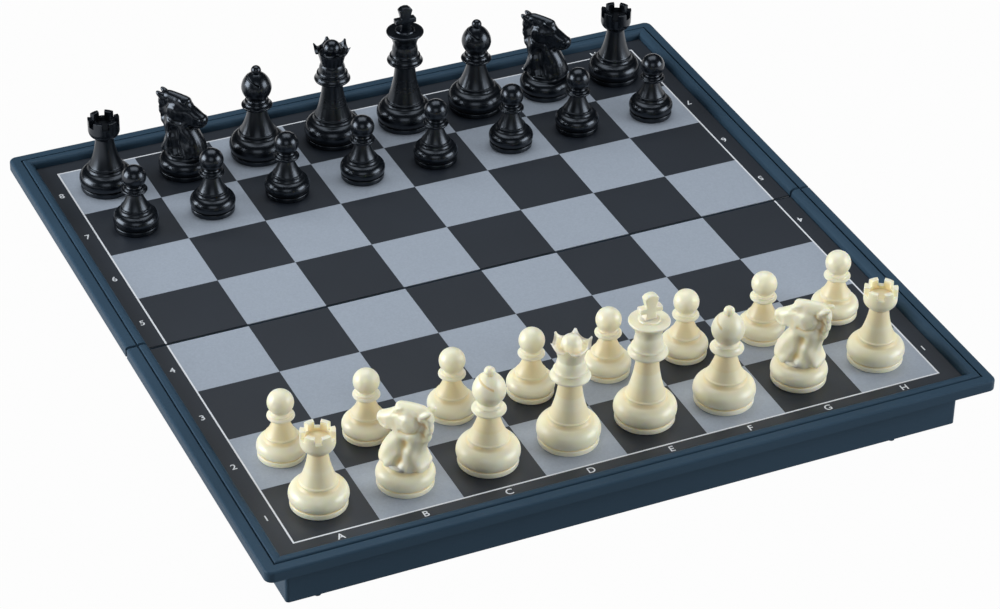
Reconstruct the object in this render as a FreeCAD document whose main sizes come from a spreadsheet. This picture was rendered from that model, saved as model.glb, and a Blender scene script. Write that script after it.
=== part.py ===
import FreeCAD, Part
import math
import os
import Sketcher

# A folding magnetic chess set, open flat on a table with the men set out for a game.
# Millimetres, +Z up. The origin is on the table under the middle of the open board, +X runs from
# file a to file h and +Y from white's side to black's. The fold line is the X axis seen from above.
# Both case halves are one moulding: the rear half is the moulding as drawn, the front half is the
# same moulding turned half a turn about Z.

SIZES = {
    # Open board and printed field
    "board_width": 324.6,
    "board_length": 325.6,
    "fold_gap": 1.5,
    "square": 36.0,
    # Heights of the case: feet, wall bottom to printed face, printed face down to the lip's edge
    "foot_height": 1.8,
    "tray_depth": 23.0,
    "lip_drop": 1.8,
    # Rim section, from the outer edge inwards; heights are above the printed face
    "band_width": 4.6,
    "band_height": 3.0,
    "groove_width": 0.8,
    "groove_height": 2.0,
    "ridge_width": 4.0,
    "ridge_height": 3.4,
    "band_edge_radius": 1.2,
    "rim_edge_radius": 0.6,
    "bed_edge_radius": 2.1,
    "lip_corner_radius": 3.5,
    # Lip overhang and the moulding's walls
    "side_overhang": 11.8,
    "end_overhang": 10.8,
    "skirt_thickness": 2.0,
    "lip_roof": 1.4,
    "ledge_thickness": 1.5,
    "wall_thickness": 2.2,
    "wall_corner_radius": 1.5,
    "deck_thickness": 2.0,
    # Printed sheet and steel plate bedded on the deck
    "sheet_thickness": 0.3,
    "plate_thickness": 0.5,
    "sheet_clearance": 0.4,
    # Feet that also locate the closed case, and the sockets that take them; near and far are the two
    # distances from the side wall's outer face
    "peg_radius": 1.5,
    "peg_inset": 2.8,
    "peg_near": 14.0,
    "peg_far": 29.0,
    "peg_clearance": 0.3,
    "socket_clearance": 0.4,
    "boss_radius": 2.5,
    # Fold hinge: two sites of three knuckles on a steel pin each
    "hinge_offset": 110.0,
    "knuckle_radius": 1.7,
    "knuckle_length": 8.0,
    "knuckle_gap": 0.3,
    "knuckle_clearance": 0.4,
    "pin_radius": 0.75,
    "pin_clearance": 0.05,
    # What every man shares: cap, parting groove, magnet and its pocket
    "cap_thickness": 2.3,
    "cap_edge": 0.4,
    "seam_depth": 0.3,
    "seam_rise": 0.4,
    "magnet_radius": 5.0,
    "magnet_thickness": 3.0,
    "magnet_clearance": 0.1,
    "ring_step": 1.2,
    "ring_rise": 0.7,
    # Pawn, from the groove upwards: rises are heights added to what is below
    "pawn_base": 9.8,
    "pawn_foot": 7.5,
    "pawn_foot_rise": 6.0,
    "pawn_stem": 3.1,
    "pawn_stem_rise": 9.1,
    "pawn_collar": 5.7,
    "pawn_collar_lift": 0.5,
    "pawn_neck": 3.6,
    "pawn_neck_rise": 2.9,
    "pawn_head_rise": 9.55,
    # Rook
    "rook_base": 11.7,
    "rook_foot": 8.8,
    "rook_foot_rise": 7.2,
    "rook_stem": 4.0,
    "rook_stem_rise": 15.2,
    "rook_flare_rise": 4.2,
    "rook_tower": 7.1,
    "rook_tower_rise": 6.1,
    "rook_wall": 2.0,
    "rook_well": 4.4,
    "rook_slot_width": 2.7,
    "rook_slot_depth": 3.0,
    # Knight: turned foot, then the horse, seen from the side with its nose towards +X
    "knight_base": 11.7,
    "knight_foot": 9.8,
    "knight_foot_rise": 6.4,
    "knight_sink": 1.0,
    "knight_thickness": 9.6,
    "knight_rump": 8.5,
    "knight_breast": 8.5,
    "knight_throat": 5.5,
    "knight_throat_rise": 17.2,
    "knight_lip": 11.5,
    "knight_lip_rise": 1.0,
    "knight_nose": 13.2,
    "knight_nose_rise": 4.2,
    "knight_poll": 0.6,
    "knight_poll_rise": 8.4,
    "knight_crest": 10.0,
    "knight_crest_drop": 5.5,
    # Bishop
    "bishop_base": 12.5,
    "bishop_foot": 9.4,
    "bishop_foot_rise": 8.0,
    "bishop_stem": 3.9,
    "bishop_stem_rise": 13.6,
    "bishop_collar": 7.1,
    "bishop_collar_lift": 0.6,
    "bishop_neck": 4.4,
    "bishop_neck_rise": 4.4,
    "bishop_mitre": 6.9,
    "bishop_mitre_rise": 5.0,
    "bishop_tip": 2.0,
    "bishop_tip_rise": 7.7,
    "bishop_ball_rise": 3.5,
    "bishop_slit_width": 0.9,
    "bishop_slit_drop": 4.6,
    "bishop_slit_rise": 4.4,
    "bishop_slit_reach": 1.8,
    # Queen
    "queen_base": 12.6,
    "queen_foot": 9.5,
    "queen_foot_rise": 8.1,
    "queen_stem": 4.6,
    "queen_stem_rise": 19.4,
    "queen_collar": 8.3,
    "queen_collar_lift": 0.7,
    "queen_neck": 6.0,
    "queen_neck_rise": 5.4,
    "queen_waist": 5.2,
    "queen_waist_rise": 2.9,
    "queen_coronet": 8.2,
    "queen_coronet_rise": 9.6,
    "queen_wall": 1.7,
    "queen_well": 3.7,
    "queen_ball": 3.6,
    "queen_ball_rise": 5.0,
    "queen_scallop_radius": 4.4,
    "queen_scallop_lift": 2.2,
    # King
    "king_base": 12.5,
    "king_foot": 9.5,
    "king_foot_rise": 8.1,
    "king_stem": 4.6,
    "king_stem_rise": 20.7,
    "king_collar": 8.3,
    "king_collar_lift": 0.8,
    "king_neck": 6.0,
    "king_neck_rise": 4.6,
    "king_waist": 5.4,
    "king_waist_rise": 4.0,
    "king_crown": 8.6,
    "king_crown_rise": 6.6,
    "king_dome_rise": 1.6,
    "cross_sink": 1.0,
    "cross_rise": 4.2,
    "cross_foot": 2.9,
    "cross_waist": 2.0,
    "cross_reach": 5.0,
    "cross_arm": 1.2,
    "cross_top": 3.2,
    "cross_top_rise": 5.6,
    "cross_thickness": 3.6,
}

doc = FreeCAD.newDocument("FoldingChessSet")
sheet = doc.addObject("Spreadsheet::Sheet", "Sizes")
for row, (alias, number) in enumerate(SIZES.items(), start=1):
    sheet.set("A%d" % row, alias)
    sheet.set("B%d" % row, str(number))
    sheet.setAlias("B%d" % row, alias)
doc.recompute()


class Size:
    """A length with its number and the expression on the sheet that gives it."""

    def __init__(self, value, text):
        self.value = value
        self.text = text

    def __add__(self, other):
        other = as_size(other)
        return Size(self.value + other.value, "(%s + %s)" % (self.text, other.text))

    def __sub__(self, other):
        other = as_size(other)
        return Size(self.value - other.value, "(%s - %s)" % (self.text, other.text))

    def __mul__(self, factor):
        return Size(self.value * factor, "(%s * %r)" % (self.text, factor))

    def __neg__(self):
        return Size(-self.value, "(0 - %s)" % self.text)


def as_size(length):
    return length if isinstance(length, Size) else Size(float(length), repr(float(length)))


def size(alias):
    return Size(SIZES[alias], "Sizes." + alias)


def chord(across, up):
    """The straight distance over a step of across and up."""
    value = math.hypot(across.value, up.value)
    return Size(value, "sqrt(%s ^ 2 + %s ^ 2)" % (across.text, up.text))


def ball_radius(across, rise):
    """Radius of the ball whose cap is this wide at its foot and this high."""
    value = (across.value ** 2 + rise.value ** 2) / (2 * rise.value)
    return Size(value, "((%s ^ 2 + %s ^ 2) / (2 * %s))" % (across.text, rise.text, rise.text))


ZERO = as_size(0)

# Bulge of a quarter circle, and the mark of an arc that ends on the axis and is centred on it
QUARTER = math.tan(math.radians(22.5))
DOME = "dome"


def bind(thing, prop, length):
    thing.setExpression(prop, length.text)


def sketch_on(body, name, role, offset=ZERO):
    """A sketch on one of the body's own origin planes, moved along that plane's normal."""
    plane = [feature for feature in body.Origin.OriginFeatures if feature.Role == role][0]
    sketch = body.newObject("Sketcher::SketchObject", name)
    sketch.AttachmentSupport = [(plane, "")]
    sketch.MapMode = "FlatFace"
    sketch.AttachmentOffset = FreeCAD.Placement(FreeCAD.Vector(0, 0, offset.value), FreeCAD.Rotation())
    if offset is not ZERO:
        bind(sketch, "AttachmentOffset.Base.z", offset)
    return sketch


def dimension(sketch, constraint, length):
    index = sketch.addConstraint(constraint)
    bind(sketch, "Constraints[%d]" % index, length)


def locate(sketch, geometry, end, across, up):
    """Hold one point of the sketch at its distances from the sketch's origin."""
    for kind, axis, length in (("DistanceX", -2, across), ("DistanceY", -1, up)):
        if abs(length.value) < 1e-9:
            sketch.addConstraint(Sketcher.Constraint("PointOnObject", geometry, end, axis))
        elif length.value > 0:
            dimension(sketch, Sketcher.Constraint(kind, -1, 1, geometry, end, length.value), length)
        else:
            away = -length
            dimension(sketch, Sketcher.Constraint(kind, geometry, end, -1, 1, away.value), away)


def loop(sketch, corners):
    """A closed outline, drawn anticlockwise through (across, up) or (across, up, bulge) corners.

    A bulge makes the edge that arrives at that corner an arc: it is the arc's height over half its
    chord, positive where the arc swells out of the outline, or DOME where a ball ends on the axis."""
    corners = [(as_size(c[0]), as_size(c[1]), c[2] if len(c) > 2 else 0.0) for c in corners]
    ends = []
    arcs = []
    for index, (across, up, bulge) in enumerate(corners):
        before = corners[index - 1]
        first = FreeCAD.Vector(before[0].value, before[1].value, 0)
        last = FreeCAD.Vector(across.value, up.value, 0)
        if not bulge:
            geometry = sketch.addGeometry(Part.LineSegment(first, last))
            ends.append((geometry, 1, 2))
            continue
        span = chord(across - before[0], up - before[1])
        if bulge == DOME:
            radius = ball_radius(before[0], up - before[1])
            bulge = math.tan(math.atan2(up.value - before[1].value, before[0].value) / 2)
        else:
            radius = span * ((1 + bulge * bulge) / (4 * abs(bulge)))
        step = last - first
        left = FreeCAD.Vector(-step.y, step.x, 0) / step.Length
        inward = radius.value - abs(bulge) * span.value / 2
        centre = (first + last) / 2 + left * math.copysign(inward, bulge)
        start, stop = (first, last) if bulge > 0 else (last, first)
        begin = math.atan2(start.y - centre.y, start.x - centre.x)
        finish = math.atan2(stop.y - centre.y, stop.x - centre.x)
        if finish <= begin:
            finish += 2 * math.pi
        circle = Part.Circle(centre, FreeCAD.Vector(0, 0, 1), radius.value)
        geometry = sketch.addGeometry(Part.ArcOfCircle(circle, begin, finish))
        ends.append((geometry, 1, 2) if bulge > 0 else (geometry, 2, 1))
        arcs.append((geometry, radius))
    for index, (geometry, head, tail) in enumerate(ends):
        following, next_head, next_tail = ends[(index + 1) % len(ends)]
        sketch.addConstraint(Sketcher.Constraint("Coincident", geometry, tail, following, next_head))
        locate(sketch, geometry, tail, corners[index][0], corners[index][1])
    for geometry, radius in arcs:
        dimension(sketch, Sketcher.Constraint("Radius", geometry, radius.value), radius)


def disc(sketch, across, up, radius):
    """A full circle held at a place in the sketch."""
    centre = FreeCAD.Vector(across.value, up.value, 0)
    geometry = sketch.addGeometry(Part.Circle(centre, FreeCAD.Vector(0, 0, 1), radius.value))
    locate(sketch, geometry, 3, across, up)
    dimension(sketch, Sketcher.Constraint("Radius", geometry, radius.value), radius)


def extrude(body, kind, name, sketch, length, flip=False, centred=False):
    """Pad or pocket a sketch, and make sure that the body's volume went the right way."""
    doc.recompute()
    before = body.Shape.Volume if body.Shape.Solids else 0.0
    feature = body.newObject("PartDesign::" + kind, name)
    feature.Profile = sketch
    feature.Length = length.value
    feature.Reversed = flip
    if centred:
        feature.SideType = "Symmetric"
    bind(feature, "Length", length)
    doc.recompute()
    gained = body.Shape.Volume - before
    if (gained <= 0) == (kind == "Pad"):
        raise RuntimeError("%s changed the volume by %.3f" % (name, gained))
    return feature


def turn(body, name, corners):
    """A turned piece: an outline on the XZ plane swept round the Z axis."""
    sketch = sketch_on(body, name + "_profile", "XZ_Plane")
    loop(sketch, corners)
    feature = body.newObject("PartDesign::Revolution", name)
    feature.Profile = sketch
    feature.ReferenceAxis = (sketch, ["V_Axis"])
    feature.Angle = 360
    doc.recompute()
    return feature


def round_over(body, name, radius, wanted):
    """Fillet the edges of the body's last feature that the test picks."""
    base = body.Tip
    picked = []
    for index, edge in enumerate(base.Shape.Edges, start=1):
        box = edge.BoundBox
        if wanted(box):
            picked.append("Edge%d" % index)
    feature = body.newObject("PartDesign::Fillet", name)
    feature.Base = (base, picked)
    feature.Radius = radius.value
    bind(feature, "Radius", radius)
    doc.recompute()
    return feature


def rectangle(left, right, near, far):
    return [(left, near), (right, near), (right, far), (left, far)]


def three_sides(x_out, y_out, x_in, y_in, start):
    """A band along the two sides and the far end of a half, open at the fold."""
    return [(-x_out, start), (-x_in, start), (-x_in, y_in), (x_in, y_in),
            (x_in, start), (x_out, start), (x_out, y_out), (-x_out, y_out)]


# Levels and edges of one half, with the fold line at Y = 0 and the half on its +Y side
fold_edge = size("fold_gap") * 0.5
outer_x = size("board_width") * 0.5
outer_y = size("board_length") * 0.5
wall_x = outer_x - size("side_overhang")
wall_y = outer_y - size("end_overhang")
rim_width = size("band_width") + size("groove_width") + size("ridge_width")
tray_bottom = size("foot_height")
printed_face = tray_bottom + size("tray_depth")
ridge_top = printed_face + size("ridge_height")
band_top = printed_face + size("band_height")
lip_under = printed_face - size("lip_drop")
sheet_under = printed_face - size("sheet_thickness")
deck_top = sheet_under - size("plate_thickness")
deck_under = deck_top - size("deck_thickness")

half = doc.addObject("PartDesign::Body", "case_half")

# Lip slab with rounded outer corners, and the wall block under it
sketch = sketch_on(half, "lip_outline", "XY_Plane", lip_under)
loop(sketch, rectangle(-outer_x, outer_x, fold_edge, outer_y))
extrude(half, "Pad", "lip", sketch, size("lip_drop") + size("ridge_height"))
corner = [outer_x.value - 0.01, outer_y.value - 0.01]
round_over(half, "lip_corners", size("lip_corner_radius"),
           lambda b: b.YMin > corner[1] and b.XLength < 0.01 and b.ZLength > 1)
sketch = sketch_on(half, "wall_outline", "XY_Plane", lip_under)
loop(sketch, rectangle(-wall_x, wall_x, fold_edge, wall_y))
extrude(half, "Pad", "walls", sketch, lip_under - tray_bottom, flip=True)
corner = [wall_y.value - 0.01, wall_y.value + 0.01]
round_over(half, "wall_corners", size("wall_corner_radius"),
           lambda b: corner[0] < b.YMin and b.YMax < corner[1] and b.XLength < 0.01 and b.ZLength > 1)

# Ledge round the walls: it carries the deck on to the rim
ledge_x = outer_x - rim_width + size("ledge_thickness")
ledge_y = outer_y - rim_width + size("ledge_thickness")
half_wall = size("wall_thickness") * 0.5
sketch = sketch_on(half, "ledge_outline", "XY_Plane", lip_under)
loop(sketch, three_sides(ledge_x, ledge_y, wall_x - half_wall, wall_y - half_wall, fold_edge))
extrude(half, "Pad", "ledge", sketch, lip_under - deck_under, flip=True)

# Bed for the plate and sheet, open at the fold, then the outer band and the groove of the rim
sketch = sketch_on(half, "bed_outline", "XY_Plane", ridge_top)
loop(sketch, rectangle(rim_width - outer_x, outer_x - rim_width, ZERO, outer_y - rim_width))
extrude(half, "Pocket", "bed", sketch, ridge_top - deck_top)
inside = size("band_width") + size("groove_width")
sketch = sketch_on(half, "band_outline", "XY_Plane", ridge_top)
loop(sketch, three_sides(outer_x + 1, outer_y + 1, outer_x - inside, outer_y - inside, ZERO))
extrude(half, "Pocket", "band", sketch, size("ridge_height") - size("band_height"))
sketch = sketch_on(half, "groove_outline", "XY_Plane", band_top)
loop(sketch, three_sides(outer_x - size("band_width"), outer_y - size("band_width"),
                         outer_x - inside, outer_y - inside, ZERO))
extrude(half, "Pocket", "groove", sketch, size("band_height") - size("groove_height"))
level = band_top.value
round_over(half, "band_edge", size("band_edge_radius"),
           lambda b: abs(b.ZMin - level) < 0.01 and b.ZLength < 0.01 and b.YMax > fold_edge.value + 0.01
           and (b.XMax > outer_x.value - 0.01 or b.XMin < 0.01 - outer_x.value
                or b.YMax > outer_y.value - 0.01))
level = ridge_top.value
crest = outer_x.value - inside.value - 0.01
bed_side = outer_x.value - rim_width.value + 0.01
round_over(half, "ridge_edge", size("rim_edge_radius"),
           lambda b: abs(b.ZMin - level) < 0.01 and b.ZLength < 0.01 and b.YMax > fold_edge.value + 0.01
           and (b.XMax > crest or b.XMin < -crest))
round_over(half, "bed_edge", size("bed_edge_radius"),
           lambda b: abs(b.ZMin - level) < 0.01 and b.ZLength < 0.01 and b.YMax > fold_edge.value + 0.01
           and -bed_side < b.XMin and b.XMax < bed_side)

# Storage tray from below, and the channel that leaves the lip a skirt and a roof under its groove
sketch = sketch_on(half, "tray_outline", "XY_Plane", tray_bottom)
wall = size("wall_thickness")
loop(sketch, rectangle(wall - wall_x, wall_x - wall, fold_edge + wall, wall_y - wall))
extrude(half, "Pocket", "tray", sketch, deck_under - tray_bottom, flip=True)
sketch = sketch_on(half, "channel_outline", "XY_Plane", lip_under)
skirt = size("skirt_thickness")
loop(sketch, three_sides(outer_x - skirt, outer_y - skirt, ledge_x, ledge_y, fold_edge + skirt))
depth = size("lip_drop") + size("groove_height") - size("lip_roof")
extrude(half, "Pocket", "channel", sketch, depth, flip=True)

# Bosses in the far wall's corner, two feet under them and two sockets that take the other half's feet
peg_y = wall_y - size("peg_inset")
peg_near = wall_x - size("peg_near")
peg_far = wall_x - size("peg_far")
feet = [peg_near, -peg_far]
sockets = [-peg_near, peg_far]
sketch = sketch_on(half, "boss_outline", "XY_Plane", tray_bottom)
for place in feet + sockets:
    disc(sketch, place, peg_y, size("boss_radius"))
extrude(half, "Pad", "bosses", sketch, deck_under - tray_bottom)
sketch = sketch_on(half, "foot_outline", "XY_Plane", tray_bottom)
for place in feet:
    disc(sketch, place, peg_y, size("peg_radius"))
extrude(half, "Pad", "feet", sketch, size("foot_height"), flip=True)
sketch = sketch_on(half, "socket_outline", "XY_Plane", tray_bottom)
for place in sockets:
    disc(sketch, place, peg_y, size("peg_radius") + size("peg_clearance"))
extrude(half, "Pocket", "sockets", sketch, size("foot_height") + size("socket_clearance"), flip=True)

# Hinge: this half has the outer knuckles of one site and the middle knuckle of the other
pitch = size("knuckle_length") + size("knuckle_gap")
middle = size("knuckle_length") * 0.5
site = size("hinge_offset")
own = [("outer_a", site - pitch - middle), ("outer_b", site + pitch - middle), ("inner", -site - middle)]
other = [("inner", site - middle), ("outer_a", -site - pitch - middle), ("outer_b", -site + pitch - middle)]
barrel = size("knuckle_radius")
web = fold_edge + wall
for name, start in other:
    room = size("knuckle_gap")
    sketch = sketch_on(half, "notch_outline_" + name, "YZ_Plane", start + size("knuckle_length") + room)
    disc(sketch, ZERO, tray_bottom, barrel + size("knuckle_clearance"))
    extrude(half, "Pocket", "notch_" + name, sketch, size("knuckle_length") + room * 2)
for name, start in own:
    sketch = sketch_on(half, "knuckle_outline_" + name, "YZ_Plane", start)
    loop(sketch, [(barrel, tray_bottom, QUARTER), (web, tray_bottom), (web, tray_bottom + barrel),
                  (ZERO, tray_bottom + barrel), (-barrel, tray_bottom, QUARTER),
                  (ZERO, tray_bottom - barrel, QUARTER)])
    extrude(half, "Pad", "knuckle_" + name, sketch, size("knuckle_length"))
for name, place in (("a", site), ("b", -site)):
    end = place + pitch + middle
    sketch = sketch_on(half, "bore_outline_" + name, "YZ_Plane", end + size("knuckle_gap"))
    disc(sketch, ZERO, tray_bottom, size("pin_radius") + size("pin_clearance"))
    extrude(half, "Pocket", "bore_" + name, sketch, (pitch + middle + size("knuckle_gap")) * 2)

# Sheet, plate and pin: plain stock, placed on each half from the same values as their beds
bed_x = outer_x - rim_width - size("sheet_clearance")
bed_y = outer_y - rim_width - size("sheet_clearance")
nodes = []


def place(thing, across, along, up, angle=0.0):
    """Set a piece down at its place, turned about Z by an angle in degrees."""
    base = FreeCAD.Vector(across.value, along.value, up.value)
    thing.Placement = FreeCAD.Placement(base, FreeCAD.Rotation(FreeCAD.Vector(0, 0, 1), angle))
    bind(thing, "Placement.Base.x", across)
    bind(thing, "Placement.Base.y", along)
    bind(thing, "Placement.Base.z", up)


def node(label, links, across=ZERO, along=ZERO, up=ZERO, angle=0.0):
    """A finished sub-part: one or more solids that make up one piece, in its place."""
    piece = doc.addObject("Part::Compound", label)
    piece.Label = label
    piece.Links = links
    place(piece, across, along, up, angle)
    nodes.append(piece)


def slab(label, thickness, level, angle):
    """A rectangular layer on the deck of one half; half a turn puts it on the front half."""
    layer = doc.addObject("Part::Box", label)
    layer.Label = label
    bind(layer, "Length", bed_x * 2)
    bind(layer, "Width", bed_y - fold_edge)
    bind(layer, "Height", thickness)
    side = 1 if angle == 0 else -1
    place(layer, bed_x * -side, fold_edge * side, level, angle)
    nodes.append(layer)


node("rear_case_half", [half])
node("front_case_half", [half], angle=180.0)
for name, angle in (("rear", 0.0), ("front", 180.0)):
    slab(name + "_steel_plate", size("plate_thickness"), deck_top, angle)
    slab(name + "_board_sheet", size("sheet_thickness"), sheet_under, angle)
for name, centre in (("left", -site), ("right", site)):
    pin = doc.addObject("Part::Cylinder", "hinge_pin_" + name)
    pin.Label = "hinge_pin_" + name
    bind(pin, "Radius", size("pin_radius"))
    bind(pin, "Height", (pitch + middle) * 2)
    place(pin, centre - pitch - middle, ZERO, tray_bottom)
    pin.Placement.Rotation = FreeCAD.Rotation(FreeCAD.Vector(0, 1, 0), 90)
    nodes.append(pin)

# Men. Each is a turned body with a magnet pocket in its foot, a magnet, and a cap that closes the pocket.
magnet = doc.addObject("Part::Cylinder", "magnet")
bind(magnet, "Radius", size("magnet_radius"))
bind(magnet, "Height", size("magnet_thickness"))
place(magnet, ZERO, ZERO, size("cap_thickness"))
seam = size("cap_thickness") + size("seam_rise")


def foot(kind):
    """The turned foot that all men share, up to the ring at the bottom of the stem, and its height."""
    waist = size(kind + "_base") - size("seam_depth")
    shoulder = seam + size(kind + "_foot_rise")
    ring = shoulder + size("ring_rise")
    corners = [(ZERO, size("cap_thickness")), (waist, size("cap_thickness")), (waist, seam),
               (size(kind + "_foot"), shoulder, 0.5),
               (size(kind + "_foot") - size("ring_step"), ring, 0.3)]
    return corners, ring


def stem(kind):
    """Foot and stem, and the height of the stem's top."""
    corners, ring = foot(kind)
    top = ring + size(kind + "_stem_rise")
    corners.append((size(kind + "_stem"), top, -0.08))
    return corners, top


def collar(kind):
    """Foot, stem and the collar over it, and the height of the neck."""
    corners, top = stem(kind)
    lift = top + size(kind + "_collar_lift")
    neck = lift + size(kind + "_neck_rise")
    corners.append((size(kind + "_collar"), lift))
    corners.append((size(kind + "_neck"), neck, 0.55))
    return corners, neck


def cap(kind):
    """The cap that closes the foot from below, with its edges broken."""
    body = doc.addObject("PartDesign::Body", kind + "_cap")
    radius = size(kind + "_base")
    edge = size("cap_edge")
    top = size("cap_thickness")
    turn(body, kind + "_cap_turning", [(ZERO, ZERO), (radius - edge, ZERO), (radius, edge),
                                       (radius, top - size("seam_depth")),
                                       (radius - size("seam_depth"), top), (ZERO, top)])
    return body


def magnet_pocket(body, kind):
    sketch = sketch_on(body, kind + "_pocket_outline", "XY_Plane", size("cap_thickness"))
    disc(sketch, ZERO, ZERO, size("magnet_radius") + size("magnet_clearance"))
    extrude(body, "Pocket", kind + "_magnet_pocket", sketch,
            size("magnet_thickness") + size("magnet_clearance"), flip=True)


def six_times(body, feature, name):
    """Repeat a cut six times round the axis."""
    pattern = body.newObject("PartDesign::PolarPattern", name)
    pattern.Originals = [feature]
    axis = [item for item in body.Origin.OriginFeatures if item.Role == "Z_Axis"][0]
    pattern.Axis = (axis, [""])
    pattern.Angle = 360
    pattern.Occurrences = 6
    body.Tip = pattern
    doc.recompute()


def pawn(body):
    corners, neck = collar("pawn")
    turn(body, "pawn_turning", corners + [(ZERO, neck + size("pawn_head_rise"), DOME)])


def rook(body):
    corners, top = stem("rook")
    flare = top + size("rook_flare_rise")
    wall_top = flare + size("rook_tower_rise")
    well = size("rook_tower") - size("rook_wall")
    floor = wall_top - size("rook_well")
    turn(body, "rook_turning", corners + [(size("rook_tower"), flare, 0.3), (size("rook_tower"), wall_top),
                                          (well, wall_top), (well, floor), (ZERO, floor)])
    sketch = sketch_on(body, "rook_slot_outline", "XY_Plane", wall_top)
    side = size("rook_slot_width") * 0.5
    inner = well - size("rook_wall") * 0.5
    outer = size("rook_tower") + size("rook_wall")
    loop(sketch, rectangle(inner, outer, -side, side))
    slot = extrude(body, "Pocket", "rook_slot", sketch, size("rook_slot_depth"))
    six_times(body, slot, "rook_slots")


def knight(body):
    corners, ring = foot("knight")
    turn(body, "knight_turning", corners + [(ZERO, ring)])
    root = ring - size("knight_sink")
    throat = ring + size("knight_throat_rise")
    lip = throat + size("knight_lip_rise")
    nose = lip + size("knight_nose_rise")
    poll = nose + size("knight_poll_rise")
    crest = poll - size("knight_crest_drop")
    sketch = sketch_on(body, "knight_side", "XZ_Plane")
    loop(sketch, [(-size("knight_rump"), root, -0.12), (size("knight_breast"), root),
                  (size("knight_throat"), throat, 0.34), (size("knight_lip"), lip),
                  (size("knight_nose"), nose, 0.35), (size("knight_poll"), poll, -0.06),
                  (-size("knight_crest"), crest, 0.3)])
    extrude(body, "Pad", "knight_horse", sketch, size("knight_thickness"), centred=True)


def bishop(body):
    corners, neck = collar("bishop")
    wide = neck + size("bishop_mitre_rise")
    tip = wide + size("bishop_tip_rise")
    turn(body, "bishop_turning", corners + [(size("bishop_mitre"), wide, 0.19),
                                            (size("bishop_tip"), tip, 0.28),
                                            (ZERO, tip + size("bishop_ball_rise"), DOME)])
    sketch = sketch_on(body, "bishop_slit_outline", "XZ_Plane")
    outside = -size("bishop_mitre") - size("bishop_slit_width")
    low = tip - size("bishop_slit_drop")
    high = low + size("bishop_slit_rise")
    width = size("bishop_slit_width")
    reach = size("bishop_slit_reach")
    loop(sketch, [(outside, high), (reach, low), (reach, low + width), (outside, high + width)])
    extrude(body, "Pocket", "bishop_slit", sketch, (size("bishop_mitre") + width) * 2, centred=True)


def queen(body):
    corners, neck = collar("queen")
    waist = neck + size("queen_waist_rise")
    rim = waist + size("queen_coronet_rise")
    floor = rim - size("queen_well")
    well = size("queen_coronet") - size("queen_wall")
    turn(body, "queen_turning", corners + [(size("queen_waist"), waist, 0.12),
                                           (size("queen_coronet"), rim, -0.1), (well, rim),
                                           (size("queen_ball"), floor),
                                           (ZERO, floor + size("queen_ball_rise"), DOME)])
    sketch = sketch_on(body, "queen_scallop_outline", "YZ_Plane", size("queen_ball"))
    disc(sketch, ZERO, rim + size("queen_scallop_lift"), size("queen_scallop_radius"))
    scallop = extrude(body, "Pocket", "queen_scallop", sketch, size("queen_coronet"), flip=True)
    six_times(body, scallop, "queen_scallops")


def king(body):
    corners, neck = collar("king")
    waist = neck + size("king_waist_rise")
    crown = waist + size("king_crown_rise")
    dome = crown + size("king_dome_rise")
    turn(body, "king_turning", corners + [(size("king_waist"), waist, 0.12),
                                          (size("king_crown"), crown, -0.2), (ZERO, dome, DOME)])
    centre = dome + size("cross_rise")
    low = dome - size("cross_sink")
    high = centre + size("cross_top_rise")
    waist = size("cross_waist")
    reach = size("cross_reach")
    arm = size("cross_arm")
    sketch = sketch_on(body, "king_cross_outline", "XZ_Plane")
    loop(sketch, [(-size("cross_foot"), low), (size("cross_foot"), low), (waist, centre - arm),
                  (reach, centre - arm), (reach, centre + arm), (waist, centre + arm),
                  (size("cross_top"), high), (-size("cross_top"), high, 0.5), (-waist, centre + arm),
                  (-reach, centre + arm), (-reach, centre - arm), (-waist, centre - arm)])
    extrude(body, "Pad", "king_cross", sketch, size("cross_thickness"), centred=True)


masters = {}
for make in (pawn, rook, knight, bishop, queen, king):
    kind = make.__name__
    body = doc.addObject("PartDesign::Body", kind + "_body")
    make(body)
    magnet_pocket(body, kind)
    masters[kind] = [body, magnet, cap(kind)]

# Where the men stand: how far each was set down from the middle of its square, across and along,
# and how it is turned. White stands on the front half, black on the rear half.
BACK_RANK = ("rook", "knight", "bishop", "queen", "king", "bishop", "knight", "rook")
SET_DOWN = {
    "white_rook_a": (0.0, 1.2, 10), "white_knight_b": (0.7, 0.5, 129), "white_bishop_c": (0.6, 0.3, -25),
    "white_queen_d": (0.4, 0.8, 24), "white_king_e": (-0.6, 1.8, 0), "white_bishop_f": (-0.9, 0.55, -70),
    "white_knight_g": (-1.3, 1.7, 129), "white_rook_h": (-0.8, 1.7, 0),
    "white_pawn_a": (-1.9, 0.6, 0), "white_pawn_b": (-1.1, 0.4, 0), "white_pawn_c": (0.3, 0.0, 0),
    "white_pawn_d": (0.0, 0.4, 0), "white_pawn_e": (-0.6, 1.4, 0), "white_pawn_f": (-1.1, 0.5, 0),
    "white_pawn_g": (-0.9, -0.45, 0), "white_pawn_h": (-0.5, 1.4, 0),
    "black_rook_a": (-1.2, 0.3, 20), "black_knight_b": (0.0, 0.0, -51), "black_bishop_c": (-0.6, 0.3, -25),
    "black_queen_d": (0.0, -0.3, -6), "black_king_e": (0.0, -0.2, 0), "black_bishop_f": (0.0, 0.0, -25),
    "black_knight_g": (0.0, 0.0, -51), "black_rook_h": (0.0, 0.0, 0),
    "black_pawn_c": (-0.5, 0.0, 0), "black_pawn_f": (1.25, -1.1, 0), "black_pawn_g": (-0.5, 0.2, 0),
    "black_pawn_h": (0.7, -1.8, 0),
}
square = size("square")
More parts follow.
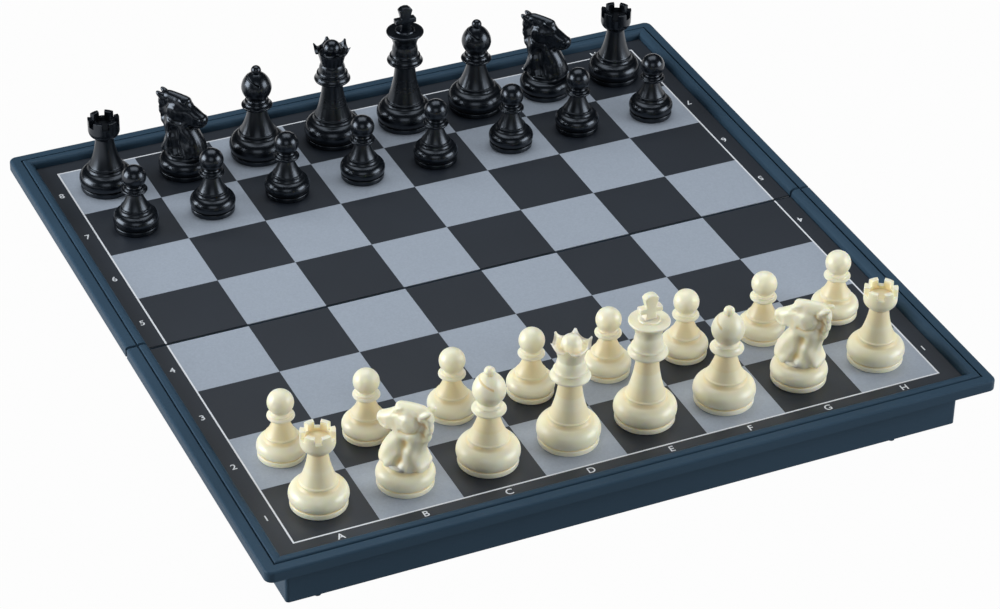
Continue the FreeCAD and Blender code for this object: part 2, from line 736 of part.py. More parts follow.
for colour, side in (("white", -1), ("black", 1)):
    for index, letter in enumerate("abcdefgh"):
        for kind, row in ((BACK_RANK[index], 3.5), ("pawn", 2.5)):
            label = "%s_%s_%s" % (colour, kind, letter)
            across, along, angle = SET_DOWN.get(label, (0.0, 0.0, 0))
            node(label, masters[kind], square * (index - 3.5) + across,
                 (fold_edge + square * row) * side + along, printed_face, angle)

doc.recompute()
for thing in doc.Objects:
    if "Invalid" in thing.State or "Error" in thing.State:
        raise RuntimeError("%s failed: %s" % (thing.Label, thing.State))
for piece in nodes:
    if piece.Shape.isNull() or not piece.Shape.isValid() or not piece.Shape.Solids:
        raise RuntimeError("%s has no sound shape" % piece.Label)
os.makedirs("parts", exist_ok=True)
for piece in nodes:
    piece.Shape.exportStep("parts/%s.step" % piece.Label)
box = Part.makeCompound([piece.Shape for piece in nodes]).optimalBoundingBox(False)
print("%d pieces, %.1f x %.1f x %.1f mm, lowest %.2f"
      % (len(nodes), box.XLength, box.YLength, box.ZLength, box.ZMin))
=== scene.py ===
# %% [markdown]
# # A folding magnetic chess set
# The object is a travel chess set: two shallow plastic case halves that lie open, a printed board on
# top of them, and thirty-two men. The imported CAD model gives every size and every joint. This lesson
# adds what the eye sees: softened edges, the horse heads, the printing and the plastics. Lengths are
# written in millimetres and turned into metres where a mesh is made.

# %% Load the frame
import math

import bmesh
import bpy
import numpy
from mathutils import Matrix, Vector
from mathutils.geometry import delaunay_2d_cdt


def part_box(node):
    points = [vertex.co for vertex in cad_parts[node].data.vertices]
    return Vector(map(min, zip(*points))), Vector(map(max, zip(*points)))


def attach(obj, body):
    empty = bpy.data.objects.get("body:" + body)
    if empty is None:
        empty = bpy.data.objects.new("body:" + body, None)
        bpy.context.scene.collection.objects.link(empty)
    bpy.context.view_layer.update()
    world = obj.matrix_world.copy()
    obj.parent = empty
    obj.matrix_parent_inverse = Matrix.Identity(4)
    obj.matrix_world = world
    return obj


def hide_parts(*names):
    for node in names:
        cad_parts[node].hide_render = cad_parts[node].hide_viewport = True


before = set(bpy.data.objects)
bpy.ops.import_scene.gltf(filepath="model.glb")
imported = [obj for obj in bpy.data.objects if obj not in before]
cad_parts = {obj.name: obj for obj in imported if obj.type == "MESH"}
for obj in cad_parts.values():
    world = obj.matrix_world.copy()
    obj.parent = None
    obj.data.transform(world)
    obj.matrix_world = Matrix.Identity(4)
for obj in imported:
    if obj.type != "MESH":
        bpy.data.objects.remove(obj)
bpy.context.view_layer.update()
MM = 0.001
printed_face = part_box("front_board_sheet")[1][2]
print("nodes:", len(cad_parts), "printed face at %.1f mm" % (printed_face / MM))

# %% [markdown]
# ## The camera
# The photograph looks down on the board from the left of white's side with a long lens. The place and
# the lens were found by matching the corners of the printed squares, so the board lands on the same
# pixels. A matrix of the camera's own right, up and backward directions states the view exactly.

# %% Camera
back = Vector((-0.34897, -0.74722, 0.56558)).normalized()
up = back.cross(Vector((0.9107, -0.41273, 0.01662))).normalized()
right = up.cross(back)
eye = Vector((-0.5049, -1.1016, 0.8377))
lens = bpy.data.cameras.new("photo_lens")
lens.sensor_fit = "HORIZONTAL"
lens.sensor_width = 36.0
lens.lens = 120.84
lens.clip_start = 0.05
lens.clip_end = 200.0
camera = bpy.data.objects.new("photo_camera", lens)
camera.matrix_world = Matrix.Translation(eye) @ Matrix((right, up, back)).transposed().to_4x4()
bpy.context.scene.collection.objects.link(camera)
bpy.context.scene.camera = camera
bpy.context.scene.view_settings.view_transform = "Standard"
print("camera %.2f m from the board's middle" % eye.length)

# %% [markdown]
# ## Colours and nodes
# Colours are written as the hex values that a picture editor shows, and one function turns them to
# the linear values that Blender computes with. Another small function adds a node with its settings
# and its links, so that each material reads as a list of what feeds what. Two more add the nodes that
# every material here has: a noise with a grain of so many millimetres, and a mix of two colours.


# %% Colour and node helpers
def linear(code):
    channels = []
    for start in (0, 2, 4):
        value = int(code[start:start + 2], 16) / 255.0
        channels.append(value / 12.92 if value <= 0.04045 else ((value + 0.055) / 1.055) ** 2.4)
    return channels[0], channels[1], channels[2], 1.0


def add(tree, kind, inputs, **settings):
    node = tree.nodes.new(kind)
    for name, value in settings.items():
        setattr(node, name, value)
    for socket, value in inputs.items():
        if isinstance(value, bpy.types.NodeSocket):
            tree.links.new(value, node.inputs[socket])
        else:
            node.inputs[socket].default_value = value
    return node


def noise(tree, spot, grain, detail=2.0):
    inputs = {"Vector": spot, "Scale": 1 / (grain * MM), "Detail": detail}
    return add(tree, "ShaderNodeTexNoise", inputs).outputs["Fac"]


def blend(tree, share, first, second):
    return add(tree, "ShaderNodeMix", {0: share, 6: first, 7: second}, data_type="RGBA").outputs[2]


def new_material(name):
    material = bpy.data.materials.new(name)
    material.use_nodes = True
    material.node_tree.nodes.clear()
    return material, material.node_tree


def dress(node_name, material):
    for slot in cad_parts[node_name].material_slots:
        slot.material = material


print("hex 808080 is %.3f in linear light" % linear("808080")[0])

# %% [markdown]
# ## Case plastic
# The case halves are injection-moulded ABS in a navy slate colour. The mould was spark-eroded, which
# leaves a fine even grain: the plastic shines softly and its highlights break up a little. A noise
# texture gives the grain to the bump, and a broad one gives slow changes of tone. The real grain is
# about 0.3 mm and would vanish in the picture, so it is drawn at 0.7 mm.

# %% Moulded ABS
case_abs, tree = new_material("moulded_navy_abs")
spot = add(tree, "ShaderNodeTexCoord", {}).outputs["Object"]
grain = noise(tree, spot, 0.7)
tone = blend(tree, noise(tree, spot, 60, 3.0), linear("2d4253"), linear("374d5f"))
sheen = add(tree, "ShaderNodeMapRange", {"Value": grain, "To Min": 0.4, "To Max": 0.55})
bump = add(tree, "ShaderNodeBump", {"Height": grain, "Strength": 0.25, "Distance": 0.04 * MM})
shine = add(tree, "ShaderNodeBsdfPrincipled", {"Base Color": tone, "IOR": 1.53,
                                               "Specular IOR Level": 0.1,
                                               "Roughness": sheen.outputs["Result"],
                                               "Normal": bump.outputs["Normal"]})
add(tree, "ShaderNodeOutputMaterial", {"Surface": shine.outputs["BSDF"]})
dress("front_case_half", case_abs)
dress("rear_case_half", case_abs)
print("case plastic:", case_abs.name)

# %% [markdown]
# ## Sheet steel
# A steel plate lies under each printed sheet and holds the men's magnets, and two steel pins carry the
# fold. They hardly show, but a joint that is opened up shows them. Rolled steel has a grain along the
# rolling direction, so the noise is stretched along X.

# %% Rolled steel
steel, tree = new_material("rolled_steel")
spot = add(tree, "ShaderNodeTexCoord", {}).outputs["Object"]
drawn = add(tree, "ShaderNodeMapping", {"Vector": spot, "Scale": (0.05, 1.0, 1.0)})
streak = noise(tree, drawn.outputs["Vector"], 0.8)
tone = blend(tree, streak, linear("a9abad"), linear("c6c8ca"))
rough = add(tree, "ShaderNodeMapRange", {"Value": streak, "To Min": 0.28, "To Max": 0.42})
shine = add(tree, "ShaderNodeBsdfPrincipled", {"Base Color": tone, "Metallic": 1.0,
                                               "Roughness": rough.outputs["Result"]})
add(tree, "ShaderNodeOutputMaterial", {"Surface": shine.outputs["BSDF"]})
for name in ("front_steel_plate", "rear_steel_plate", "hinge_pin_left", "hinge_pin_right"):
    dress(name, steel)
print("steel:", steel.name)

# %% [markdown]
# ## The printed board
# The playing face is a satin plastic film, printed in silver grey and black with a thin white frame
# line. The print is worked out from the place on the sheet: a checker texture whose tile is one 36 mm
# square, and the larger of the two distances from the middle for the frame line and the border. Each
# half's squares start at its own fold edge, so each half has its own copy with its own shift.

# %% Printed film
SQUARE = 36.0 * MM
FOLD_EDGE = 0.75 * MM
FIELD = 4 * SQUARE
LINE = 0.75 * MM


def printed_film(half, side):
    material, tree = new_material("printed_film_" + half)
    spot = add(tree, "ShaderNodeTexCoord", {}).outputs["Object"]
    field = add(tree, "ShaderNodeMapping", {"Vector": spot, "Location": (0.0, -side * FOLD_EDGE, 0.0)})
    tile = add(tree, "ShaderNodeVectorMath", {0: field.outputs["Vector"],
                                              1: (1 / SQUARE, 1 / SQUARE, 0.0)}, operation="MULTIPLY")
    lift = add(tree, "ShaderNodeVectorMath", {0: tile.outputs["Vector"], 1: (0.0, 0.0, 0.5)})
    fleck = noise(tree, spot, 0.9)
    silver = blend(tree, fleck, linear("979fac"), linear("aab3bf"))
    black = blend(tree, noise(tree, spot, 50), linear("20252d"), linear("272d36"))
    squares = add(tree, "ShaderNodeTexChecker", {"Vector": lift.outputs["Vector"], "Scale": 1.0,
                                                 "Color1": silver, "Color2": black})
    away = add(tree, "ShaderNodeVectorMath", {0: field.outputs["Vector"]}, operation="ABSOLUTE")
    part = add(tree, "ShaderNodeSeparateXYZ", {0: away.outputs["Vector"]})
    reach = add(tree, "ShaderNodeMath", {0: part.outputs["X"], 1: part.outputs["Y"]}, operation="MAXIMUM")
    outside = add(tree, "ShaderNodeMath", {0: reach.outputs[0], 1: FIELD}, operation="GREATER_THAN")
    beyond = add(tree, "ShaderNodeMath", {0: reach.outputs[0], 1: FIELD + LINE}, operation="GREATER_THAN")
    framed = blend(tree, outside.outputs[0], squares.outputs["Color"], linear("e6e8ec"))
    whole = blend(tree, beyond.outputs[0], framed, black)
    satin = add(tree, "ShaderNodeMapRange", {"Value": fleck, "To Min": 0.34, "To Max": 0.46})
    shine = add(tree, "ShaderNodeBsdfPrincipled", {"Base Color": whole, "IOR": 1.5,
                                                   "Roughness": satin.outputs["Result"]})
    add(tree, "ShaderNodeOutputMaterial", {"Surface": shine.outputs["BSDF"]})
    return material


dress("front_board_sheet", printed_film("front", -1))
dress("rear_board_sheet", printed_film("rear", 1))
print("field %.0f mm, square %.0f mm" % (2 * FIELD / MM, SQUARE / MM))

# %% [markdown]
# ## Letters and numbers
# The border carries the files A to H and the ranks 1 to 8 in white screen ink. Ink lies a little
# unevenly, so a fine noise mixes two whites.

# %% White ink
white_ink, tree = new_material("white_screen_ink")
spot = add(tree, "ShaderNodeTexCoord", {}).outputs["Object"]
tone = blend(tree, noise(tree, spot, 0.5), linear("dcdfe3"), linear("eef0f3"))
shine = add(tree, "ShaderNodeBsdfPrincipled", {"Base Color": tone, "Roughness": 0.45})
add(tree, "ShaderNodeOutputMaterial", {"Surface": shine.outputs["BSDF"]})
print("ink:", white_ink.name)

# %% [markdown]
# The characters stand upright for the player on each side: the left numbers and the near letters for
# white, the right numbers and the far letters for black. They are text turned into flat meshes that
# lie a hair above the film, which keeps the film's own material simple. One mesh holds all the
# characters of a half, because the print of a half is one thing.

# %% Characters
LETTER_SIZE = 4.8 * MM
LETTER_SWELL = 0.07 * MM
INK_LIFT = 0.03 * MM
LETTER_ROW = 148.6 * MM
LEFT_NUMBERS = -148.6 * MM
RIGHT_NUMBERS = 147.6 * MM
MIDDLE_FILE = 3.5


def stamp(bm, text, across, along, turned):
    curve = bpy.data.curves.new("character", "FONT")
    curve.body = text
    curve.size = LETTER_SIZE
    curve.offset = LETTER_SWELL
    curve.align_x = "CENTER"
    curve.align_y = "CENTER"
    letter = bpy.data.objects.new("character", curve)
    bpy.context.scene.collection.objects.link(letter)
    mesh = bpy.data.meshes.new_from_object(letter.evaluated_get(bpy.context.evaluated_depsgraph_get()))
    spin = Matrix.Rotation(math.pi if turned else 0.0, 4, "Z")
    mesh.transform(Matrix.Translation((across, along, printed_face + INK_LIFT)) @ spin)
    bm.from_mesh(mesh)
    bpy.data.objects.remove(letter)
    bpy.data.meshes.remove(mesh)


for half, side in (("front", -1), ("rear", 1)):
    bm = bmesh.new()
    for number in range(4):
        rank = 4 - number if side < 0 else 5 + number
        along = side * (FOLD_EDGE + SQUARE * (number + 0.5))
        stamp(bm, str(rank), LEFT_NUMBERS, along, False)
        stamp(bm, str(rank), RIGHT_NUMBERS, along, True)
    for number, letter in enumerate("ABCDEFGH"):
        stamp(bm, letter, (number - MIDDLE_FILE) * SQUARE, side * LETTER_ROW, side > 0)
    mesh = bpy.data.meshes.new(half + "_lettering")
    bm.to_mesh(mesh)
    bm.free()
    mesh.materials.append(white_ink)
    lettering = bpy.data.objects.new(half + "_lettering", mesh)
    bpy.context.scene.collection.objects.link(lettering)
    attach(lettering, half + "_half")
    print(half, "lettering:", len(mesh.polygons), "faces")

# %% [markdown]
# ## Ivory and black plastics for the men
# The men are injection-moulded polystyrene. The ivory one lets light a little way in, so its edges
# glow; the black one is opaque and shows gloss only. Every man's mesh carries a number for recess shade,
# from 0 on an open surface to 1 deep in a groove or a hollow. The ivory mixes with it towards a warm tan
# and the black towards a deeper black, both painted shade in grooves and hollows. The black also turns
# less glossy where a polishing wheel can't reach.


# %% Polystyrenes
def polystyrene(name, open_tone, open_tone_2, painted_shade_tone, gloss, deep_gloss, glow, sheen):
    material, tree = new_material(name)
    spot = add(tree, "ShaderNodeTexCoord", {}).outputs["Object"]
    recess_shade = add(tree, "ShaderNodeAttribute", {}, attribute_name="recess_shade").outputs["Fac"]
    tone = blend(tree, noise(tree, spot, 9, 3.0), linear(open_tone), linear(open_tone_2))
    # The recess shade mixes the open tone towards the painted shade tone.
    whole = blend(tree, recess_shade, tone, linear(painted_shade_tone))
    polish = add(tree, "ShaderNodeMapRange", {"Value": recess_shade, "To Min": gloss, "To Max": deep_gloss})
    bump = add(tree, "ShaderNodeBump", {"Height": noise(tree, spot, 1.2), "Strength": 0.12,
                                        "Distance": 0.03 * MM})
    shine = add(tree, "ShaderNodeBsdfPrincipled", {"Base Color": whole, "IOR": 1.55,
                                                   "Roughness": polish.outputs["Result"],
                                                   "Normal": bump.outputs["Normal"],
                                                   "Subsurface Weight": glow,
                                                   "Specular Tint": linear(sheen),
                                                   "Subsurface Radius": (1.0, 0.85, 0.5),
                                                   "Subsurface Scale": 2.2 * MM})
    add(tree, "ShaderNodeOutputMaterial", {"Surface": shine.outputs["BSDF"]})
    return material


# The fourth colour of each plastic is its painted shade tone: a warm tan for the ivory, a deeper black for
# the black.
ivory = polystyrene("ivory_polystyrene", "fff1d2", "fff5de", "f0d690", 0.32, 0.45, 0.7, "ffffff")
ebony = polystyrene("black_polystyrene", "04070b", "080c12", "030508", 0.26, 0.4, 0.0, "e4efff")
print("men:", ivory.name, ebony.name)

# %% [markdown]
# ## Turning a man
# Apart from the horse, the men are round bodies, as if turned on a lathe. An outline is a list of
# corners: radius, height and, where the line that arrives there is an arc, its bulge, which is the
# arc's height over half its chord. The outline is filled with closely spaced points, and its sharp
# corners are softened, because moulded plastic has no knife edges and the light needs a rounding to
# catch. A Screw modifier could turn it, but building the rings in code lets a shape change with angle.

# %% Outlines
SHARP_TURN = math.radians(24)


def follow(corners, spacing=0.5):
    points = [Vector(corners[0][:2])]
    for corner in corners[1:]:
        start = points[-1]
        end = Vector(corner[:2])
        bulge = corner[2] if len(corner) > 2 else 0.0
        step = end - start
        count = max(2, math.ceil(step.length * (1 + abs(bulge)) / spacing))
        if not bulge:
            points += [start + step * (i / count) for i in range(1, count + 1)]
            continue
        left = Vector((-step.y, step.x))
        centre = (start + end) / 2 + left * ((1 - bulge * bulge) / (4 * bulge))
        for i in range(1, count + 1):
            angle = 4 * math.atan(bulge) * i / count
            points.append(centre + Matrix.Rotation(angle, 2) @ (start - centre))
    return points


def soften(points, cut=0.2):
    kept = [points[0]]
    for before, point, after in zip(points, points[1:], points[2:]):
        inward = before - point
        onward = after - point
        if inward.length < 1e-6 or onward.length < 1e-6:
            continue
        if (-inward).angle(onward) < SHARP_TURN:
            kept.append(point)
            continue
        first = point + inward.normalized() * min(cut, inward.length * 0.45)
        last = point + onward.normalized() * min(cut, onward.length * 0.45)
        kept += [first, (first + last) / 4 + point / 2, last]
    kept.append(points[-1])
    return kept


def dome(radius, rise):
    return math.tan(math.atan2(rise, radius) / 2)


print("points on a quarter circle:", len(follow([(0, 0), (5, 5, math.tan(math.pi / 8))])))

# %% [markdown]
# The recess shade of an outline point is painted shade: it grows with how far the point lies inside a
# line stretched over its neighbours, once over a few millimetres for stems and once over one for grooves.
# Each of these spans has the depth that counts as full. A well gets a third of the full painted shade at
# most, since thin walls let light into it. A ring of vertices is then made for each point, and
# neighbouring rings are joined by faces. Edges with a strong crease stay sharp.

# %% Lathe
SPANS = ((8.0, 7.0), (1.2, 1.3))
WELL_SHADE_LIMIT = 0.35
WELL_DEPTH = 6.0
CREASE = math.radians(40)
ROUND = [math.tau * i / 72 for i in range(72)]


# Painted shade for each outline point: 0 in the open, up to 1 in a deep groove or stem.
def recesses(points):
    heights = numpy.array([p.y for p in points])
    radii = numpy.array([p.x for p in points])
    falls = numpy.where(numpy.diff(heights) < -0.01)[0]
    rim = int(falls[0]) if len(falls) else len(points)
    found = []
    for index, point in enumerate(points):
        if index > rim:
            found.append(min(WELL_SHADE_LIMIT, max(0.0, (heights[rim] - point.y) / WELL_DEPTH)))
            continue
        deepest = 0.0
        for span, full in SPANS:
            low = numpy.where((heights < point.y - 0.01) & (heights > point.y - span))[0]
            high = numpy.where((heights > point.y + 0.01) & (heights < point.y + span))[0]
            if len(low) and len(high):
                rise = heights[high][None, :] - heights[low][:, None]
                run = radii[high][None, :] - radii[low][:, None]
                line = radii[low][:, None] + run * (point.y - heights[low])[:, None] / rise
                inside = (line - point.x) * rise / numpy.hypot(rise, run)
                deepest = max(deepest, inside.max() / full)
        found.append(float(min(1.0, deepest)))
    return found


def lathe(corners, angles, shape=None):
    points = soften(follow(corners))
    bm = bmesh.new()
    # Each vertex carries its amount of painted shade.
    recess_shade = bm.verts.layers.float.new("recess_shade")
    rings = []
    for point, depth in zip(points, recesses(points)):
        ring = []
        for angle in angles if point.x > 1e-4 else angles[:1]:
            radius, height = shape(point.x, point.y, angle) if shape else point
            ring.append(bm.verts.new((radius * math.cos(angle) * MM, radius * math.sin(angle) * MM,
                                      height * MM)))
            ring[-1][recess_shade] = depth
        rings.append(ring)
    for low, high in zip(rings, rings[1:]):
        count = max(len(low), len(high))
        for i in range(count):
            j = (i + 1) % count
            corners = [low[i % len(low)], low[j % len(low)], high[j % len(high)], high[i % len(high)]]
            if len(set(corners)) > 2:
                bm.faces.new(list(dict.fromkeys(corners)))
    bmesh.ops.remove_doubles(bm, verts=bm.verts, dist=1e-6)
    return bm


def finish_mesh(bm, name):
    bmesh.ops.recalc_face_normals(bm, faces=bm.faces)
    for face in bm.faces:
        face.smooth = True
    for edge in bm.edges:
        edge.smooth = not edge.is_manifold or edge.calc_face_angle(0.0) < CREASE
    mesh = bpy.data.meshes.new(name)
    bm.to_mesh(mesh)
    bm.free()
    return mesh


print("vertices in a ring:", len(ROUND))

# %% [markdown]
# ## What the turned men share
# Each man has a cap that closes the magnet's pocket, a parting groove over it, a fat bead, and a thin
# half-round ring where the stem starts. Then the stem sweeps up to a collar: a wide flange with a round
# edge, a hollow slope over it and a small ring under the head. The main sizes are those of the CAD
# model, to within a millimetre; the hollows and the half-round edges, which it leaves out, are added.


# %% Foot and collar
def foot(base, shoulder, height):
    ring = shoulder - 1.05
    cap = [(0, 0), (base - 0.6, 0), (base, 0.6, 0.41), (base, 2.2)]
    groove = [(base - 0.3, 2.5), (base - 0.9, 2.6), (base - 0.9, 2.9), (base - 0.15, 3.0)]
    bead = [(shoulder, height - 0.2, 0.5), (ring, height + 1.4, -0.25)]
    return cap + groove + bead + [(ring, height + 2.2, 0.7), (ring - 0.35, height + 2.4)]


def collar(stem, flange, neck, low, high):
    ledge = low + 0.62 * (high - low)
    under = [(stem, low, -0.08), (flange - 0.9, low + 0.3, -0.2)]
    edge = [(flange, low + 1.0, 0.4), (flange - 0.3, low + 1.6, 0.45), (neck + 1.0, ledge, -0.2)]
    small_ring = [(neck + 1.0, ledge + 0.55, 0.6), (neck + 0.5, ledge + 0.7)]
    return under + edge + small_ring + [(neck, high, -0.15)]


print("pawn foot corners:", len(foot(9.8, 7.5, 8.7)))

# %% [markdown]
# ## Pawn
# A small man with a round head on a collar. The head is an arc that ends on the axis, so its bulge
# follows from the neck's radius and the head's height.

# %% Pawn
shapes = {}
pawn = foot(9.8, 7.5, 8.7) + collar(3.1, 5.7, 3.6, 18.5, 21.9) + [(0, 31.45, dome(3.6, 9.55))]
shapes["pawn"] = finish_mesh(lathe(pawn, ROUND), "pawn")
print("pawn:", len(shapes["pawn"].vertices), "vertices")

# %% [markdown]
# ## Rook
# A tower with a well in its top and six slots in the wall. The slots could be cut with a boolean, but
# the rings can simply be pressed down where a slot is, which keeps the mesh clean. The columns of
# vertices are set close together at each slot's sides, so that the sides stand upright.

# %% Rook
SIXTH = math.tau / 6
SLOT_HALF = math.asin(1.35 / 6.1)
SLOT_FLOOR = 33.1
WALL_INSIDE = 4.9
rook_angles = []
for number in range(6):
    middle = SIXTH * number
    for offset in (-SLOT_HALF - 0.012, -SLOT_HALF + 0.006, -0.08, 0.0, 0.08, SLOT_HALF - 0.006,
                   SLOT_HALF + 0.012, 0.28, 0.37, 0.46, 0.5236, 0.59, 0.68, 0.77):
        rook_angles.append(middle + offset)


def slotted(radius, height, angle):
    nearest = abs((angle + SIXTH / 2) % SIXTH - SIXTH / 2)
    if nearest < SLOT_HALF and radius > WALL_INSIDE:
        height = min(height, SLOT_FLOOR)
    return radius, height


rook = foot(11.7, 8.8, 9.9) + [(4.0, 25.8, -0.08), (4.3, 26.4), (7.1, 30.0, 0.3), (7.1, 36.1),
                               (5.1, 36.1), (5.1, 31.7), (0, 31.7)]
shapes["rook"] = finish_mesh(lathe(rook, rook_angles, slotted), "rook")
print("rook:", len(shapes["rook"].vertices), "vertices")

# %% [markdown]
# ## Bishop
# The mitre is an egg with a small ball on top and one slanting slit. The slit is a real cut, so a thin
# slanting blade is taken away with a Boolean modifier, and the vertices on the cut's two sides get a
# fair share of painted shade, the tan of the grooves.

# %% Bishop
SLIT_INNER = (1.8, 38.1)
SLIT_OUTER = (-7.8, 42.5)
SLIT_WIDTH = 0.8
SLIT_SHADE = 0.4


def baked(bm, name, change):
    piece = bpy.data.objects.new(name, finish_mesh(bm, name))
    bpy.context.scene.collection.objects.link(piece)
    change(piece)
    result = bpy.data.meshes.new_from_object(piece.evaluated_get(bpy.context.evaluated_depsgraph_get()))
    bpy.data.objects.remove(piece)
    return result


bm = bmesh.new()
blade = []
for along in (-9.0, 9.0):
    for across, height in (SLIT_OUTER, SLIT_INNER):
        blade.append(bm.verts.new((across * MM, along * MM, height * MM)))
        blade.append(bm.verts.new((across * MM, along * MM, (height + SLIT_WIDTH) * MM)))
bmesh.ops.convex_hull(bm, input=blade)
cutter = bpy.data.objects.new("slit_blade", finish_mesh(bm, "slit_blade"))
bpy.context.scene.collection.objects.link(cutter)


def cut_slit(piece):
    cut = piece.modifiers.new("slit", "BOOLEAN")
    cut.operation = "DIFFERENCE"
    cut.solver = "EXACT"
    cut.object = cutter


bishop = foot(12.5, 9.4, 10.7) + collar(3.9, 7.1, 4.4, 25.0, 30.0)
bishop += [(6.9, 35.0, 0.19), (2.0, 42.7, 0.28), (0, 46.2, dome(2.0, 3.5))]
shapes["bishop"] = baked(lathe(bishop, ROUND), "bishop_uncut", cut_slit)
bpy.data.objects.remove(cutter)
# The slit's two sides get a fixed share of painted shade.
shade_marks = shapes["bishop"].attributes["recess_shade"].data
slope = (SLIT_OUTER[1] - SLIT_INNER[1]) / (SLIT_INNER[0] - SLIT_OUTER[0])
for vertex in shapes["bishop"].vertices:
    x, _, z = vertex.co / MM
    over = z - SLIT_INNER[1] - (SLIT_INNER[0] - x) * slope
    if x < SLIT_INNER[0] + 0.1 and -0.02 < over < SLIT_WIDTH + 0.02:
        shade_marks[vertex.index].value = SLIT_SHADE
print("bishop:", len(shapes["bishop"].vertices), "vertices")

# %% [markdown]
# ## Queen
# The coronet flares into six points with round scallops between them. The scallops are a horizontal
# round cut, so the rings are pressed down to that circle, and the points are leaned outwards a little.
# A dome fills the coronet and rises over its points; it is the end of the same outline. The dome is a
# little fuller than in the CAD model, and the points stop a little lower.

# %% Queen
CORONET = [math.tau * i / 120 for i in range(120)]
CUP_FLOOR = 44.0
CUP_INSIDE = 4.7
SCALLOP_RADIUS = 3.5
SCALLOP_MIDDLE = 49.4
SCALLOP_REACH = 3.45
POINT_LEAN = 0.9
POINT_RISE = 4.7


def scalloped(radius, height, angle):
    nearest = (angle + SIXTH / 2) % SIXTH - SIXTH / 2
    if height > CUP_FLOOR and radius > CUP_INSIDE:
        across = min(SCALLOP_REACH, abs(radius * math.sin(nearest)))
        point = 0.5 - 0.5 * math.cos(6 * nearest)
        height = min(height, SCALLOP_MIDDLE - math.sqrt(SCALLOP_RADIUS ** 2 - across ** 2))
        radius += POINT_LEAN * point * max(0.0, (height - CUP_FLOOR) / POINT_RISE) ** 2
    return radius, height


queen = foot(12.6, 9.5, 10.8) + collar(4.6, 8.3, 6.0, 30.9, 37.0)
queen += [(5.2, 39.9, 0.12), (7.9, 48.8, -0.06), (7.1, 48.8), (6.1, 45.2), (5.6, 44.9),
          (4.2, 45.6, -0.1), (4.2, 47.2), (0, 51.4, 0.4142)]
shapes["queen"] = finish_mesh(lathe(queen, CORONET, scalloped), "queen")
print("queen:", len(shapes["queen"].vertices), "vertices")

# %% [markdown]
# ## King
# The crown flares to a thin round rim about a nearly flat top. A low disc on it carries a cross whose
# upper arm spreads. The cross is a flat outline that is extruded and bevelled, and it sinks into the
# disc.

# %% King
CROSS_HALF = 1.8
CROSS_BEVEL = 0.45
king = foot(12.5, 9.5, 10.8) + collar(4.6, 8.3, 6.0, 32.2, 37.6)
king += [(5.4, 41.6, 0.08), (8.2, 47.4, -0.2), (8.6, 48.0, 0.2), (8.3, 48.7, 0.4), (7.6, 48.7),
         (4.6, 48.9), (4.3, 49.5), (0, 49.8)]
bm = lathe(king, ROUND)
cross = bmesh.new()
cross.verts.layers.float.new("recess_shade")
outline = [(-2.9, 48.9), (2.9, 48.9), (2.0, 52.8), (5.0, 52.8), (5.0, 55.2), (2.0, 55.2), (3.2, 59.6),
           (1.8, 60.8), (0.0, 61.15), (-1.8, 60.8), (-3.2, 59.6), (-2.0, 55.2), (-5.0, 55.2),
           (-5.0, 52.8), (-2.0, 52.8)]
flat = cross.faces.new([cross.verts.new((x * MM, -CROSS_HALF * MM, z * MM)) for x, z in outline])
grown = bmesh.ops.extrude_face_region(cross, geom=[flat])
bmesh.ops.translate(cross, vec=(0, 2 * CROSS_HALF * MM, 0),
                    verts=[item for item in grown["geom"] if isinstance(item, bmesh.types.BMVert)])
bmesh.ops.recalc_face_normals(cross, faces=cross.faces)
bmesh.ops.bevel(cross, geom=[edge for edge in cross.edges if edge.calc_face_angle(0.0) > 0.5],
                offset=CROSS_BEVEL * MM, segments=3, profile=0.5, affect="EDGES", clamp_overlap=True)
cross_mesh = finish_mesh(cross, "cross")
bm.from_mesh(cross_mesh)
shapes["king"] = finish_mesh(bm, "king")
print("king:", len(shapes["king"].vertices), "vertices")

# %% [markdown]
# ## Knight
# The horse is moulded in two half moulds that meet on its side outline, so it is built like a medal:
# the outline is filled with triangles, and each point inside it is raised to both sides by a thickness
# that grows from nothing at the edge. The thickness in between comes from a few chosen places, and
# grooves and swellings are drawn on it as lines with a depth and a width.

# %% Horse's outline
INSETS = (0.08, 0.3, 0.7, 1.2, 1.8)
GRID = 0.55
HORSE = [(-9.6, 9.5), (9.2, 9.5), (10.9, 13.6, 0.26), (8.2, 20.0, 0.08), (4.6, 24.9, 0.04),
         (7.0, 24.5, -0.3), (9.8, 25.1, 0.15), (12.4, 28.6, 0.25), (11.2, 31.4, 0.3), (6.4, 34.1, -0.06),
         (4.2, 36.4, -0.12), (2.4, 38.7, 0.4), (-6.5, 39.8, 0.04), (-10.6, 38.2, 0.15),
         (-12.4, 33.2, 0.2), (-12.0, 31.9), (-12.1, 28.2, 0.15), (-11.4, 27.0), (-10.9, 23.9, 0.15),
         (-9.9, 22.6), (-8.8, 17.6, -0.05), (-10.3, 12.8, -0.16), (-9.6, 9.5, 0.25)]
edge = numpy.array([tuple(point) for point in follow(HORSE, 0.4)[:-1]])


def gap(points, line, closed):
    ends = numpy.roll(line, -1, axis=0) if closed else line[1:]
    starts = line if closed else line[:-1]
    step = ends - starts
    share = ((points[:, None] - starts) * step).sum(2) / (step ** 2).sum(1)
    near = starts + numpy.clip(share, 0.0, 1.0)[..., None] * step
    return numpy.sqrt(((points[:, None] - near) ** 2).sum(2)).min(1)


